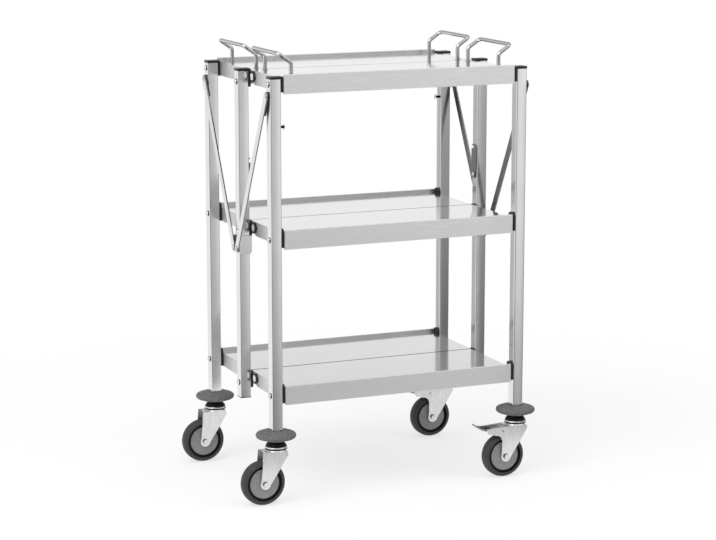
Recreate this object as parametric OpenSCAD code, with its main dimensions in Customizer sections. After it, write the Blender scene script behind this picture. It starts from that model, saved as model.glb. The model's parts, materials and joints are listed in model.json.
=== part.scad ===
// Folding serving trolley with three two-part shelves, six posts and four swivel casters.
// Units are millimetres. The origin is on the floor, under the middle of the overall outline.
// +Z is up, -Y is the long side with the front flanges, and -X is the left end.

/* [Frame] */
// Width over the outer faces of the posts
frame_w = 617; // [560:1:700]
// Depth over the outer faces of the corner posts
frame_d = 422; // [380:1:480]
// Width of a square post
post_w = 25; // [20:1:32]
// Wall of a post
post_wall = 1.5; // [1:0.1:2.5]
// Outer edge radius of a post
post_r = 2.5; // [1:0.5:5]
// Height of the posts' metal tops above the lower edge of the top shelf's long flange
post_over = 32.5; // [30:0.5:40]
// Distance of the middle posts' lower ends below the lower shelf's long flange
middle_under = 24.5; // [15:0.5:40]
// Thickness of the black caps
cap_t = 5.5; // [3:0.5:8]
// Depth of a cap's plug in its tube
cap_plug = 6; // [4:0.5:7]

/* [Shelves] */
// Height of the lower edge of the top shelf's long flange
top_shelf_z = 909.5; // [860:0.5:960]
// Height of the same edge on the middle shelf
middle_shelf_z = 570.5; // [500:0.5:620]
// Height of the same edge on the lower shelf
lower_shelf_z = 223.5; // [200:0.5:260]
// Height of a long flange
flange_h = 42.5; // [30:0.5:50]
// Height of the rim above the tray's surface
rim_h = 8; // [5:0.5:12]
// Thickness of the rim along the long edges
rim_t = 3; // [2:0.5:4]
// Height of a side flange's lower edge above the long flange's lower edge
side_lift = 3; // [2:0.5:6]
// Height of that edge beside the seam, where the halves of a folded shelf come closest
seam_lift = 6; // [5.5:0.5:8]
// Sheet thickness
sheet = 1.2; // [0.8:0.1:2]
// Room between a side flange and the inner face of a post
side_room = 5.5; // [4:0.1:8]
// Radius of a tray's outer corners
tray_r = 2; // [2:0.5:8]
// Gap between the two halves of a shelf
seam_gap = 1.5; // [0.4:0.1:2]
// Depth of the folded lip along the seam
seam_lip = 17; // [10:1:22]
// Width of the lip turned in under a long flange
return_lip = 7; // [4:0.5:12]
// Distance of the seam's lip from a tray's ends
lip_inset = 12; // [8:1:20]
// Thickness of the ears on the rear halves
ear_t = 2; // [1.5:0.1:3]
// Distance of a rear half's side flange from the seam
ear_run = 20; // [14:1:30]
// Lap of a rear half's ear on its side flange
ear_lap = 12; // [8:1:20]

/* [Fold] */
// Height of the corner pivots above the long flange's lower edge
corner_pivot = 21; // [18:0.5:26]
// Height of the middle pivots above the same edge
middle_pivot = 8.5; // [6:0.5:14]
// Distance of a corner post's centre from the middle post's centre when folded
folded_pitch = 47; // [46:0.5:60]
// Diameter of the pivot bolts
bolt_d = 8; // [6:0.5:10]
// Diameter of the bolts' domed heads
bolt_head_d = 13; // [11:0.5:16]
// Running clearance of the bolts, on the radius
bolt_play = 0.05; // [0.02:0.01:0.1]
// Height of the bolts' domed heads
bolt_head_h = 4.5; // [3:0.5:6]
// Thickness of the nuts
nut_h = 5; // [4:0.5:6]
// Radius of the ears round the middle pivots
ear_r = 8; // [7:0.5:9]

/* [Hinge blocks] */
// Height of a corner block's top above the long flange's lower edge
corner_block_top = 46; // [40:0.5:48]
// Height of a corner block's foot above that edge
corner_block_foot = 4.5; // [2:0.5:14]
// Height of a middle block's top above that edge
middle_block_top = 35.5; // [32:0.5:38]
// Height of a middle block's foot above that edge
middle_block_foot = -3; // [-5:0.5:2]
// Radius of a block's upper corners
block_r = 8; // [2:0.5:10]
// Diameter of the spacer discs on the side flanges
disc_d = 24; // [16:1:24]
// Distance of a spacer disc from the seam
disc_y = 31; // [28:0.5:40]

/* [Handles] */
// Diameter of the handle rod
rod_d = 9; // [7:0.5:12]
// Distance between a handle's two legs
handle_l = 156; // [120:1:180]
// Distance of a handle's legs from the posts' outer faces
leg_inset = 58.5; // [44:0.5:78]
// Distance of a handle's bar from the same faces
bar_inset = 28.5; // [10:0.5:40]
// Height of the lower bend above the tray's surface
leg_h = 31; // [20:1:45]
// Height of the bar above the lower bend
bar_rise = 20; // [10:1:40]
// Radius of the bends, to the rod's centre
bend_r = 11; // [8:1:16]

/* [Braces and sliders] */
// Height of the braces' upper pivots above the lower edge of the top shelf's long flange
brace_rise = -3.5; // [-8:0.5:6]
// Distance of the braces' lower pivots below the sliders' tops
brace_below = 29; // [24:0.5:34]
// Distance of a lower pivot from the middle post's centre
brace_low_y = 9.5; // [9:0.1:10]
// Width of a brace
brace_w = 18; // [12:0.5:18.5]
// Thickness of a brace
brace_t = 3; // [2:0.5:4]
// Length of the black spacer behind a brace, below its upper pivot
spacer_l = 46; // [20:1:60]
// Height of a slider
slider_h = 42; // [36:1:44]
// Wall of a slider
slider_wall = 3.2; // [2:0.1:4]
// Wall of a slider behind the braces
slider_back = 1.5; // [1:0.1:2.5]
// Thickness of the black pad between that wall and the braces
pad_t = 1.7; // [1:0.1:4]
// Clearance between a slider and its post
slider_gap = 0.3; // [0.2:0.05:0.6]
// Height of a slider's top above the foot of the block that stands in its notch
slider_lap = 4.5; // [1:0.5:8]
// Room below that block in the notch
slider_room = 3.5; // [2:0.5:12]

/* [Lock levers] */
// Height of a lever's pivot
lever_z = 676; // [660:1:700]
// Height of the studs that the levers hook on
stud_z = 838; // [820:1:850]
// Diameter of the studs and of the levers' pivots
stud_d = 6; // [5:0.5:8]
// Length of a stud's shank beyond the lever that hooks on it
stud_over = 6; // [0:0.5:8]
// Width of a lever's head
lever_w = 24; // [18:1:26]
// Thickness of a lever
lever_t = 2.7; // [2:0.1:2.8]
// Room round a stud in a lever's hook
hook_room = 0.5; // [0.3:0.1:1]
// Radius of a lever's foot
lever_foot_r = 9; // [7:0.5:11]
// Distance from a lever's pivot to where it is full width
lever_flare = 30; // [20:1:40]

/* [Casters] */
// Diameter of a wheel
wheel_d = 100; // [75:5:125]
// Width of a wheel
wheel_w = 30; // [24:1:36]
// Thickness of the tyre on its hub
tread_t = 14.5; // [10:0.5:18]
// Radius of the tyre's shoulders
shoulder_r = 11; // [5:0.5:11]
// Distance of a wheel's centre behind its swivel
trail = 32; // [25:1:40]
// Diameter of the bumper discs
bumper_d = 90; // [70:1:92]
// Thickness of a bumper disc at its middle
bumper_t = 22; // [14:1:24]
// Room between a fork's plates and the wheel, on each side
fork_room = 2; // [1:0.5:4]
// Thickness of a fork's plates
fork_t = 2.5; // [2:0.5:4]
// Height of the top of a fork's crown plate above the tyre
crown_room = 21; // [17:0.5:25]
// Height of the corner posts' lower ends above the crown plate
stem_h = 47; // [44:1:60]
// Diameter of the swivel bearing
race_d = 50; // [44:1:54]
// Height of a brake pedal's pivot above the tyre
pedal_rise = 10.5; // [9.5:0.5:11]
// Distance of that pivot behind the swivel
pedal_x = 40; // [36:1:46]

/* [Hidden] */
$fn = 48;
eps = 0.01;
half_w = frame_w / 2;
half_d = frame_d / 2;
// The left wheels reach further out than the right bumpers, so the frame stands to the right.
frame_shift = (trail + wheel_d / 2 - bumper_d / 2) / 2;
post_x = half_w - post_w / 2;
post_y = half_d - post_w / 2;
inner_x = half_w - post_w;
tray_x = inner_x - side_room;
shelves = [top_shelf_z, middle_shelf_z, lower_shelf_z];
deck = flange_h - rim_h;
post_top = top_shelf_z + post_over;
fork_top = wheel_d + crown_room;
corner_bottom = fork_top + stem_h;
middle_bottom = lower_shelf_z - middle_under;
bolt_r = bolt_d / 2;
bore_r = bolt_r + bolt_play;
face_gap = 0.3;
nut_gap = 0.2;
plug_play = 0.2;
block_x = tray_x + face_gap;
leg_x = half_w - leg_inset;
bar_out = half_w - bar_inset;
brace_top_z = top_shelf_z + brace_rise;
slider_top = middle_shelf_z + middle_block_foot + slider_lap;
brace_low_z = slider_top - brace_below;

// One half of a shelf is a link between a corner pivot and a middle pivot.
pivot_drop = corner_pivot - middle_pivot;
link_l = norm([post_y, pivot_drop]);
rest_dip = asin(pivot_drop / link_l);
folded_rise = acos(folded_pitch / link_l);
fold_angle = rest_dip + folded_rise;
middle_lift = link_l * (sin(folded_rise) + sin(rest_dip));
// Further out than this, side flanges that hang below the pivots are clear of each other when folded.
low_run = (middle_pivot - side_lift) * tan(fold_angle) + 2;

// A brace hangs from a corner post and carries the slider on the middle post.
brace_run = post_y - brace_low_y;
brace_drop = brace_top_z - brace_low_z;
brace_l = norm([brace_run, brace_drop]);
brace_lean = atan2(brace_run, brace_drop);
folded_lean = asin((folded_pitch - brace_low_y) / brace_l);
slider_travel = brace_low_z - (brace_top_z - brace_l * cos(folded_lean) - middle_lift);
slider_half = post_w / 2 + slider_gap + slider_wall;
slider_out = post_w / 2 + slider_gap + slider_back;
rivet_x = post_x + slider_out + pad_t + face_gap;
brace_x = rivet_x + face_gap;

// A lever reaches from its pivot to the stud when the trolley is folded.
stud_below = lever_z + middle_lift - stud_z;
lever_reach = norm([folded_pitch, stud_below]);
lever_angle = 180 - atan2(folded_pitch, stud_below);
lever_x = inner_x - face_gap - lever_t;

fork_in = wheel_w / 2 + fork_room;
fork_out = fork_in + fork_t;
axle_z = wheel_d / 2;
hub_d = wheel_d - 2 * tread_t;
pedal_z = wheel_d + pedal_rise;
axle_r = 4;
ring_z = fork_top + 6;
seal_z = ring_z + 4;
bumper_z = corner_bottom - 2 - bumper_t / 2;
kingpin_r = 6;
pedal_pin_r = 2.5;
pedal_w = 28;
brake_arm_x = 82;

echo(fold_angle = fold_angle, middle_lift = middle_lift, slider_travel = slider_travel);
echo(brace_turn = brace_lean - folded_lean, lever_angle = lever_angle, lever_reach = lever_reach);

// Sub-part to draw

// Placing. Every shape below is drawn for the right end, and for the front where it has a front.

module centred() {
  translate([frame_shift, 0, 0]) children();
}

module at_end(s) {
  if (s < 0) mirror([1, 0, 0]) children();
  else children();
}

module at_side(s) {
  if (s > 0) mirror([0, 1, 0]) children();
  else children();
}

module at_both_ends() {
  at_end(1) children();
  at_end(-1) children();
}

// Turns a shape drawn along +Z so that it runs along +X.
module along_x(x, y, z) {
  translate([x, y, z]) rotate([0, 90, 0]) children();
}

// Turns a shape drawn along +Z so that it runs along +Y.
module along_y(x, y, z) {
  translate([x, y, z]) rotate([-90, 0, 0]) children();
}

module box(lo, hi) {
  translate(lo) cube(hi - lo);
}

// A round bar along X between two places.
module bar_x(x0, x1, y, z, r) {
  along_x(x0, y, z) cylinder(r = r, h = x1 - x0);
}

// A flat plate in the XZ plane, from y0 to y1, with an outline of [x, z] points.
module plate_xz(y0, y1, outline) {
  translate([0, y1, 0]) rotate([90, 0, 0]) linear_extrude(y1 - y0) polygon(outline);
}

// A flat plate in the YZ plane, from x0 to x1, with an outline of [y, z] points.
module plate_yz(x0, x1, outline) {
  translate([x0, 0, 0]) rotate([90, 0, 90]) linear_extrude(x1 - x0) polygon(outline);
}

// A domed head of radius r, h high, on the XY plane.
module dome(r, h) {
  edge = h * 0.25;
  arc = [for (a = [0:15:90]) [r * cos(a), edge + (h - edge) * sin(a)]];
  rotate_extrude() polygon(concat([[0, 0], [r, 0]], arc));
}

// Posts

module rounded_column(w, r, z0, z1) {
  c = w / 2 - r;
  box([-w / 2, -c, z0], [w / 2, c, z1]);
  box([-c, -w / 2, z0], [c, w / 2, z1]);
  for (x = [-c, c], y = [-c, c]) translate([x, y, z0]) cylinder(r = r, h = z1 - z0);
}

module tube(z0) {
  inside = post_w - 2 * post_wall;
  difference() {
    rounded_column(post_w, post_r, z0, post_top);
    box([-inside / 2, -inside / 2, z0 - 1], [inside / 2, inside / 2, post_top + 1]);
  }
}

module corner_post(has_stud) {
  color("silver") difference() {
    translate([post_x, -post_y, 0]) tube(corner_bottom);
    for (z = shelves) bar_x(inner_x - 1, half_w + 1, -post_y, z + corner_pivot, bore_r);
    bar_x(post_x, half_w + 1, -post_y, brace_top_z, bore_r);
    if (has_stud) bar_x(inner_x - 1, post_x, -post_y, stud_z, stud_d / 2 + bolt_play);
  }
}

module middle_post() {
  color("silver") difference() {
    translate([post_x, 0, 0]) tube(middle_bottom);
    for (z = shelves) bar_x(inner_x - 1, half_w + 1, 0, z + middle_pivot, bore_r);
    bar_x(inner_x - 1, post_x, 0, lever_z, stud_d / 2 + bolt_play);
  }
}

// Black hinge blocks and caps

// A block fills the room between a post's inner face and the trays' side flanges.
module block(y, pivot_z, foot, top, r) {
  y0 = y - post_w / 2;
  y1 = y + post_w / 2;
  difference() {
    union() {
      box([block_x, y0, foot], [inner_x, y1, top - r]);
      box([block_x, y0 + r, foot], [inner_x, y1 - r, top]);
      if (r > 0) for (yc = [y0 + r, y1 - r]) bar_x(block_x, inner_x, yc, top - r, r);
    }
    bar_x(block_x - 1, inner_x + 1, y, pivot_z, bore_r);
  }
}

module corner_block(z, top, r) {
  block(-post_y, z + corner_pivot, z + corner_block_foot, top, r);
}

module middle_block(z, top, r) {
  block(0, z + middle_pivot, z + middle_block_foot, top, r);
}

// A cap closes the tube's end and covers the block beside it.
module cap(y) {
  side = post_w / 2;
  plug = side - post_wall - plug_play;
  box([block_x, y - side, post_top], [half_w, y + side, post_top + cap_t]);
  box([post_x - plug, y - plug, post_top - cap_plug], [post_x + plug, y + plug, post_top + eps]);
}

module corner_blocks() {
  color("#1c1c1e") at_both_ends() {
    corner_block(top_shelf_z, post_top + eps, 0);
    for (z = [middle_shelf_z, lower_shelf_z]) corner_block(z, z + corner_block_top, block_r);
    cap(-post_y);
  }
}

module foot_plug() {
  plug = post_w / 2 - post_wall - plug_play;
  translate([post_x, 0, 0]) {
    box([-post_w / 2, -post_w / 2, middle_bottom - 2], [post_w / 2, post_w / 2, middle_bottom]);
    box([-plug, -plug, middle_bottom - eps], [plug, plug, middle_bottom + 12]);
  }
}

module middle_blocks() {
  color("#1c1c1e") at_both_ends() {
    middle_block(top_shelf_z, post_top + eps, 0);
    for (z = [middle_shelf_z, lower_shelf_z]) middle_block(z, z + middle_block_top, block_r);
    cap(0);
    foot_plug();
  }
}

// Bolts. A pivot bolt runs from its domed head outside the post to its nut inside the tray.

module pivot_bolt(y, z, stack) {
  nut_face = tray_x - stack - nut_gap;
  bar_x(nut_face - nut_h, half_w + eps, y, z, bolt_r);
  bar_x(nut_face - nut_h, nut_face, y, z, bolt_head_d / 2 - 0.5);
  along_x(half_w, y, z) dome(bolt_head_d / 2, bolt_head_h);
}

// A pin on which a brace turns, with a flat head.
module brace_pin() {
  head = brace_x + brace_t + nut_gap;
  bar_x(half_w - 8, head + eps, -post_y, brace_top_z, bolt_r);
  along_x(head, -post_y, brace_top_z) dome(bolt_r + 1.5, 1.5);
}

// A stud, or a lever's pivot, on the inner face of a post.
module inner_stud(y, z, over) {
  head = lever_x - face_gap - over;
  bar_x(head - eps, inner_x + 8, y, z, stud_d / 2);
  along_x(head, y, z) mirror([0, 0, 1]) dome(stud_d, 2.6);
}

module corner_bolts(stud_end) {
  color("gainsboro") {
    at_both_ends() {
      for (z = shelves) pivot_bolt(-post_y, z + corner_pivot, sheet);
      brace_pin();
    }
    at_end(stud_end) inner_stud(-post_y, stud_z, stud_over);
  }
}

module middle_bolts() {
  color("gainsboro") at_both_ends() {
    for (z = shelves) pivot_bolt(0, z + middle_pivot, sheet + face_gap + ear_t);
    inner_stud(0, lever_z, 0);
  }
}

// Trays

module tray_skin() {
  seam = -seam_gap / 2;
  x1 = tray_x - tray_r;
  rim_r = rim_t / 2;
  box([-tray_x, -half_d + tray_r, deck - sheet], [tray_x, seam, deck]);
  box([-x1, -half_d + sheet / 2, deck - sheet], [x1, -half_d + tray_r + eps, deck]);
  box([-x1, -half_d, 0], [x1, -half_d + sheet, flange_h - rim_r]);
  box([-x1, -half_d, deck], [x1, -half_d + rim_t, flange_h - rim_r]);
  bar_x(-x1, x1, -half_d + rim_r, flange_h - rim_r, rim_r);
  box([-x1, -half_d + eps, 0], [x1, -half_d + sheet + return_lip, sheet]);
  box([lip_inset - tray_x, seam - sheet, deck - seam_lip], [tray_x - lip_inset, seam, deck]);
  for (s = [-1, 1]) tray_corner(s);
}

module tray_corner(s) {
  x1 = tray_x - tray_r;
  top = flange_h - rim_t / 2;
  translate([s * x1, -half_d + tray_r, 0]) intersection() {
    union() {
      difference() {
        cylinder(r = tray_r, h = top);
        translate([0, 0, -1]) cylinder(r = tray_r - sheet, h = top + 2);
      }
      translate([0, 0, deck - sheet]) cylinder(r = tray_r, h = sheet);
    }
    box([min(0, s * 2 * tray_r), -2 * tray_r, -1], [max(0, s * 2 * tray_r), 0, top + 1]);
  }
}

// A side flange runs from the tray's corner to y1. Its lower edge rises near the seam.
module side_flange(y1) {
  box([tray_x - sheet, -half_d + tray_r, side_lift], [tray_x, -low_run, deck]);
  box([tray_x - sheet, -low_run - eps, seam_lift], [tray_x, y1, deck]);
}

// The front half's side flange and its ear round the middle pivot.
module front_side() {
  side_flange(-seam_gap / 2);
  bar_x(tray_x - sheet, tray_x, 0, middle_pivot, ear_r);
}

// The rear half's side flange stops short of the seam, and its ear lies inside the front half's.
module rear_side() {
  ear_x = tray_x - sheet - face_gap - ear_t;
  ear_end = ear_run + ear_lap;
  side_flange(-ear_run);
  box([ear_x, -ear_end, seam_lift], [tray_x - sheet + eps, -ear_run, deck - sheet / 2]);
  box([ear_x, -ear_end, seam_lift], [ear_x + ear_t, -seam_gap / 2, deck - sheet / 2]);
  bar_x(ear_x, ear_x + ear_t, 0, middle_pivot, ear_r);
}

module tray(z, rear) {
  color("whitesmoke") at_side(rear ? 1 : -1) translate([0, 0, z]) difference() {
    union() {
      tray_skin();
      at_both_ends() {
        if (rear) rear_side();
        else front_side();
      }
    }
    at_both_ends() {
      bar_x(tray_x - 6, tray_x + 1, -post_y, corner_pivot, bore_r);
      bar_x(tray_x - 6, tray_x + 1, 0, middle_pivot, bore_r);
    }
  }
}

// A spacer disc on a side flange runs past the inner face of the middle post.
module discs(z, rear) {
  h = side_room - 0.4;
  r = disc_d / 2;
  color("#26262a") at_side(rear ? 1 : -1) at_both_ends()
    along_x(tray_x, -disc_y, z + corner_pivot) rotate_extrude()
      polygon([[0, 0], [r, 0], [r, h - 1.2], [r - 1.2, h], [0, h]]);
}

// Handles. A rod is a chain of straight runs, each with the angle of the bend after it and the
// way that the bend faces, as [length, angle, roll]. A bend is a hair thicker than the runs, whose
// ends lie inside it.

module bend(angle, r) {
  translate([bend_r, 0, 0]) rotate([90, 0, 180])
    rotate_extrude(angle = angle, start = 0) translate([bend_r, 0]) circle(r = r, $fn = 32);
}

module rod(chain, r, i = 0) {
  tuck = 0.3;
  foot = i > 0 ? -tuck : 0;
  end = i < len(chain) - 1 ? tuck : 0;
  translate([0, 0, foot]) cylinder(r = r, h = chain[i][0] + end - foot);
  if (i < len(chain) - 1) {
    angle = chain[i][1];
    translate([0, 0, chain[i][0]]) rotate([0, 0, chain[i][2]]) {
      bend(angle, r + 0.03);
      translate([bend_r * (1 - cos(angle)), 0, bend_r * sin(angle)]) rotate([0, angle, 0])
        rod(chain, r, i + 1);
    }
  }
}

module handle(s, rear) {
  lean = atan2(bar_out - leg_x, bar_rise);
  leg = leg_h - bend_r * tan(lean / 2);
  slope = norm([bar_out - leg_x, bar_rise]) - bend_r * tan(lean / 2) - bend_r;
  bar = handle_l - 2 * bend_r;
  chain = [[leg, lean, 0], [slope, 90, 90], [bar, 90, 0], [slope, lean, -90], [leg, 0, 0]];
  first_y = -half_d / 2 - handle_l / 2;
  color("lightgray") at_side(rear ? 1 : -1) at_end(s) translate([leg_x, first_y, top_shelf_z + deck]) {
    rod(chain, rod_d / 2);
    for (y = [0, handle_l]) translate([0, y, 0]) cylinder(r = rod_d / 2 + 2, h = 1.5);
  }
}

// Braces and sliders

module braces(rear) {
  r = brace_w / 2;
  color("silver") at_side(rear ? 1 : -1) at_both_ends()
    translate([0, -post_y, brace_top_z]) rotate([brace_lean, 0, 0]) difference() {
      union() {
        box([brace_x, -r, -brace_l], [brace_x + brace_t, r, 0]);
        bar_x(brace_x, brace_x + brace_t, 0, 0, r);
        bar_x(brace_x, brace_x + brace_t, 0, -brace_l, r);
      }
      bar_x(brace_x - 1, brace_x + brace_t + 1, 0, 0, bore_r);
      bar_x(brace_x - 1, brace_x + brace_t + 1, 0, -brace_l, stud_d / 2 + bolt_play);
    }
}

// A black spacer on a brace's inner side keeps it off the post.
module brace_spacers(rear) {
  r = brace_w / 2;
  x0 = half_w + face_gap;
  color("#1c1c1e") at_side(rear ? 1 : -1) at_both_ends()
    translate([0, -post_y, brace_top_z]) rotate([brace_lean, 0, 0]) difference() {
      union() {
        box([x0, -r, -spacer_l], [brace_x, r, 0]);
        bar_x(x0, brace_x, 0, 0, r);
      }
      bar_x(x0 - 1, brace_x + 1, 0, 0, bore_r);
    }
}

module brace_rivets(rear) {
  outer = brace_x + brace_t;
  color("gainsboro") at_side(rear ? 1 : -1) at_both_ends() {
    bar_x(rivet_x, outer + eps, -brace_low_y, brace_low_z, stud_d / 2);
    along_x(outer, -brace_low_y, brace_low_z) dome(stud_d, 3);
  }
}

// A slider is a sleeve on its post. The notch in its inner wall clears the hinge block above.
module slider_sleeves() {
  foot = slider_top - slider_h;
  chamfer = 3;
  outline = [
    [-slider_half + chamfer, foot], [slider_out - chamfer, foot], [slider_out, foot + 2 * chamfer],
    [slider_out, slider_top], [-slider_half, slider_top], [-slider_half, foot + 2 * chamfer]
  ];
  inside = post_w / 2 + slider_gap;
  notch = slider_top - slider_lap - slider_room;
  color("lightgray") at_both_ends() translate([post_x, 0, 0]) difference() {
    plate_xz(-slider_half, slider_half, outline);
    box([-inside, -inside, foot - 1], [inside, inside, slider_top + 1]);
    box([-slider_half - 1, -inside, notch], [0, inside, slider_top + 1]);
  }
}

// The black pads on the sliders, behind the braces' lower ends.
module slider_pads() {
  margin = 1.5;
  side = slider_half - margin;
  foot = slider_top - slider_h;
  color("#1c1c1e") at_both_ends() translate([post_x + slider_out, 0, 0])
    box([0, -side, foot + 6], [pad_t, side, slider_top - margin]);
}

// Lock levers. The left one turns to the front and the right one to the rear.

module lever_plate() {
  w = lever_w / 2;
  tip = lever_reach + stud_d / 2 + 4;
  slot = stud_d / 2 + hook_room;
  r = 7;
  difference() {
    union() {
      bar_x(lever_x, lever_x + lever_t, 0, 0, lever_foot_r);
      plate_yz(lever_x, lever_x + lever_t, [
        [-lever_foot_r, 0], [lever_foot_r, 0], [w, lever_flare], [w, tip - r], [w - r, tip],
        [r - w, tip], [-w, tip - r], [-w, lever_flare]
      ]);
      for (y = [w - r, r - w]) bar_x(lever_x, lever_x + lever_t, y, tip - r, r);
    }
    bar_x(lever_x - 1, lever_x + lever_t + 1, 0, 0, stud_d / 2 + bolt_play);
    bar_x(lever_x - 1, lever_x + lever_t + 1, 0, lever_reach, slot);
    box([lever_x - 1, -w - 1, lever_reach - slot], [lever_x + lever_t + 1, 0, lever_reach + slot]);
  }
}

module lock_lever(s) {
  color("silver") at_end(s) at_side(s) translate([0, 0, lever_z]) lever_plate();
}

// Casters. Each is drawn about its own swivel, with the wheel behind it towards -X.

module at_caster(s, rear) {
  translate([s * post_x, rear ? post_y : -post_y, 0]) children();
}

module bumper() {
  r = bumper_d / 2;
  h = bumper_t / 2;
  hole = 10.1;
  edge = 6;
  upper = [for (a = [90:-15:0]) [r - edge + edge * cos(a), edge * sin(a)]];
  lower = [for (a = [-15:-15:-90]) [r - edge + edge * cos(a), edge * sin(a)]];
  translate([0, 0, bumper_z]) rotate_extrude($fn = 64)
    polygon(concat([[hole, -h], [hole, h], [16, h], [30, h - 1.5]], upper, lower,
                   [[30, 1.5 - h], [16, -h]]));
}

module bumpers(rear) {
  color("#55565a") for (s = [-1, 1]) at_caster(s, rear) bumper();
}

// The fixed half of the swivel: plug, stem, seal, upper race and kingpin.
module caster_head() {
  plug = post_w / 2 - post_wall - plug_play;
  low = bumper_z - bumper_t / 2;
  nut = fork_top - fork_t - 0.3;
  box([-plug, -plug, corner_bottom], [plug, plug, corner_bottom + 30]);
  translate([0, 0, corner_bottom - 2 + 0.02]) cylinder(r = 12, h = 2);
  translate([0, 0, seal_z]) cylinder(r = 10, h = corner_bottom - seal_z);
  translate([0, 0, seal_z]) cylinder(r1 = race_d / 2 - 2, r2 = race_d / 2 - 8, h = low - seal_z - 0.02);
  translate([0, 0, ring_z + 0.3]) cylinder(r = race_d / 2, h = seal_z - ring_z - 0.3);
  translate([0, 0, nut - 4]) cylinder(r = kingpin_r, h = ring_z - nut + 5);
  translate([0, 0, nut - 4]) cylinder(r = 11, h = 4);
}

module caster_heads(rear) {
  color("#3a3a3e") for (s = [-1, 1]) at_caster(s, rear) caster_head();
}

// Outline of a fork's plate as [x, z] points, down to the round end about the axle.
function fork_outline(brake) = concat(
  [[20, fork_top], [22, fork_top - 8], [5, wheel_d - 14], [-trail + 11, axle_z - 4],
   [-trail - 11, axle_z - 2]],
  brake ? [[-42, wheel_d - 12], [-46, wheel_d - 3], [-52, wheel_d + 0.5],
           [4 - brake_arm_x, wheel_d + 6.5], [-brake_arm_x, fork_top - 3], [-30, fork_top]]
        : [[-38, wheel_d], [-36, fork_top]]
);

module fork_plate(brake) {
  y0 = fork_in;
  plate_xz(y0, fork_out, fork_outline(brake));
  along_y(-trail, y0, axle_z) cylinder(r = 12, h = fork_t);
}

module fork_body(brake) {
  crown_r = race_d / 2 - 1;
  difference() {
    union() {
      fork_plate(brake);
      mirror([0, 1, 0]) fork_plate(brake);
      box([-30, -fork_out, fork_top - fork_t], [20, fork_out, fork_top]);
      translate([0, 0, fork_top - fork_t]) cylinder(r = crown_r - 3, h = fork_t);
      translate([0, 0, fork_top - eps]) cylinder(r1 = crown_r - 2, r2 = crown_r, h = ring_z - fork_top);
    }
    translate([0, 0, fork_top - 10]) cylinder(r = kingpin_r + bolt_play, h = 30);
    along_y(-trail, -fork_out - 1, axle_z) cylinder(r = axle_r + bolt_play, h = 2 * fork_out + 2);
    if (brake)
      along_y(-pedal_x, -fork_out - 1, pedal_z) cylinder(r = pedal_pin_r + bolt_play, h = 2 * fork_out + 2);
  }
}

module fork(s, rear) {
  color("lightgray") at_caster(s, rear) fork_body(s > 0);
}

module tyre(s, rear) {
  r = wheel_d / 2;
  w = wheel_w / 2;
  seat = hub_d / 2;
  groove = 2.5;
  shoulder = min(shoulder_r, tread_t - groove - 0.5);
  arc = [for (a = [0:10:90]) [r - shoulder + shoulder * sin(a), w - shoulder + shoulder * cos(a)]];
  back = [for (a = [90:-10:0]) [r - shoulder + shoulder * sin(a), shoulder - w - shoulder * cos(a)]];
  color("#3d3d40") at_caster(s, rear) along_y(-trail, 0, axle_z) rotate_extrude($fn = 72)
    polygon(concat([[seat, 4 - w], [seat, w - 4], [seat + groove, w]], arc,
                   back, [[seat + groove, -w]]));
}

module hub(s, rear) {
  r = hub_d / 2 - 0.02;
  w = wheel_w / 2 - 3;
  b = wheel_w / 2 + fork_room - 0.4;
  color("#8f9094") at_caster(s, rear) along_y(-trail, 0, axle_z) difference() {
    rotate_extrude($fn = 72)
      polygon([[0, -b], [9, -b], [9, -w - 0.6], [14, -w], [r - 2, -w], [r, 2 - w],
               [r, w - 2], [r - 2, w], [14, w], [9, w + 0.6], [9, b], [0, b]]);
    translate([0, 0, -b - 1]) cylinder(r = axle_r + bolt_play, h = 2 * b + 2);
  }
}

module axle(s, rear) {
  head = fork_out + 0.05;
  color("gainsboro") at_caster(s, rear) along_y(-trail, 0, axle_z) {
    translate([0, 0, -head - 3.6]) cylinder(r = axle_r, h = 2 * head + 3.6 + 6.5);
    translate([0, 0, -head - 4.5]) cylinder(r = 6.5, h = 4.5, $fn = 6);
    translate([0, 0, head]) cylinder(r = 6.5, h = 5, $fn = 6);
  }
}

// A brake pedal turns on a pin between the fork's long arms. Its shoe comes down on the tyre.
module pedal_body() {
  w = pedal_w / 2;
  tongue = [
    [2, 5], [-38, 5], [-55, 11], [-63, 17], [-65, 15], [-57, 8], [-39, 1.5], [-18, 0],
    [-18, -10.5], [-15, -11.4], [-6, -9.8]
  ];
  plate_xz(-w, w, [for (p = tongue) [p[0] - pedal_x, p[1] + pedal_z]]);
  along_y(-pedal_x, -w, pedal_z) cylinder(r = 6, h = 2 * w);
  along_y(-pedal_x, -fork_out - 1, pedal_z) cylinder(r = pedal_pin_r, h = 2 * fork_out + 2);
}

module brake_pedal(rear) {
  color("#4a4a4e") at_caster(1, rear) pedal_body();
}

centred() at_end(-1) corner_post(true);  // post_front_left
centred() corner_post(false);  // post_front_right
centred() at_end(-1) middle_post();  // post_middle_left
centred() middle_post();  // post_middle_right
centred() at_end(-1) at_side(1) corner_post(false);  // post_rear_left
centred() at_side(1) corner_post(true);  // post_rear_right
centred() corner_blocks();  // hinge_blocks_front
centred() middle_blocks();  // hinge_blocks_middle
centred() at_side(1) corner_blocks();  // hinge_blocks_rear
centred() corner_bolts(-1);  // bolts_front
centred() middle_bolts();  // bolts_middle
centred() at_side(1) corner_bolts(1);  // bolts_rear
centred() tray(top_shelf_z, false);  // tray_top_front
centred() tray(top_shelf_z, true);  // tray_top_rear
centred() tray(middle_shelf_z, false);  // tray_middle_front
centred() tray(middle_shelf_z, true);  // tray_middle_rear
centred() tray(lower_shelf_z, false);  // tray_lower_front
centred() tray(lower_shelf_z, true);  // tray_lower_rear
centred() discs(top_shelf_z, false);  // discs_top_front
centred() discs(top_shelf_z, true);  // discs_top_rear
centred() discs(middle_shelf_z, false);  // discs_middle_front
centred() discs(middle_shelf_z, true);  // discs_middle_rear
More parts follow.
